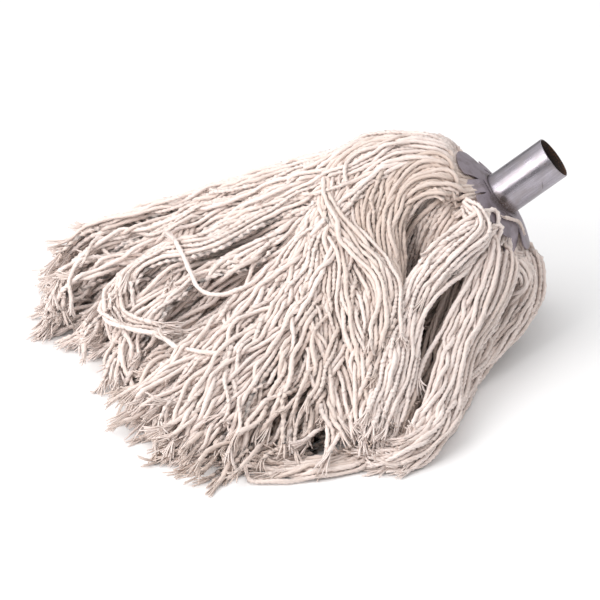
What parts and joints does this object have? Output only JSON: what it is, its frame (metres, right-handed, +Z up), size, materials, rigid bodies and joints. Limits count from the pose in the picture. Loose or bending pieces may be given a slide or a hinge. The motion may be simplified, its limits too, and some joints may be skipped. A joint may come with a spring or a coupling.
{
  "type": "string mop head",
  "caption": "Cotton string mop head lying on its side, with a round steel handle socket and a petalled clamp plate.",
  "frame": {"origin": "middle of the whole object's footprint, on the floor that the mop head lies on", "axes": "+Z up from the floor; the socket's axis lies in the XZ plane and rises towards +X at 38.5 degrees; the yarn fans out to -X and -Y"},
  "size_m": [0.2992, 0.3002, 0.1146],
  "materials": {
    "zinc_tube": "bright zinc, drawn lengthwise",
    "zinc_plate": "dull zinc, matt",
    "inner_steel": "zinc plated, darkened",
    "cotton_yarn": "soft twisted cotton, off-white"
  },
  "bodies": {
    "yarn": {"lower_hank_01": "cotton_yarn", "upper_hank_01": "cotton_yarn", "lower_hank_02": "cotton_yarn", "upper_hank_02": "cotton_yarn", "lower_hank_03": "cotton_yarn", "upper_hank_03": "cotton_yarn", "lower_hank_04": "cotton_yarn", "upper_hank_04": "cotton_yarn", "lower_hank_05": "cotton_yarn", "upper_hank_05": "cotton_yarn", "lower_hank_06": "cotton_yarn", "upper_hank_06": "cotton_yarn", "lower_hank_07": "cotton_yarn", "upper_hank_07": "cotton_yarn", "lower_hank_08": "cotton_yarn", "upper_hank_08": "cotton_yarn", "lower_hank_09": "cotton_yarn", "upper_hank_09": "cotton_yarn", "lower_hank_10": "cotton_yarn", "upper_hank_10": "cotton_yarn", "lower_hank_11": "cotton_yarn", "upper_hank_11": "cotton_yarn", "lower_hank_12": "cotton_yarn", "upper_hank_12": "cotton_yarn", "hank_under_neck": "cotton_yarn"},
    "head": {"socket_tube": "zinc_tube", "petal_plate": "zinc_plate", "backing_disc": "inner_steel", "centre_rivet": "inner_steel", "clamp_disc": "inner_steel", "rivet_washer": "inner_steel", "wire_ring": "inner_steel", "yarn_core": "cotton_yarn", "loose_thread": "cotton_yarn"}
  },
  "joints": [
    {"name": "neck_flex", "type": "hinge", "parent": "yarn", "child": "head", "pos_m": [0.09795, 0.04426, 0.07], "axis": [0, -1, 0], "range_deg": [-20, 40]}
  ]
}
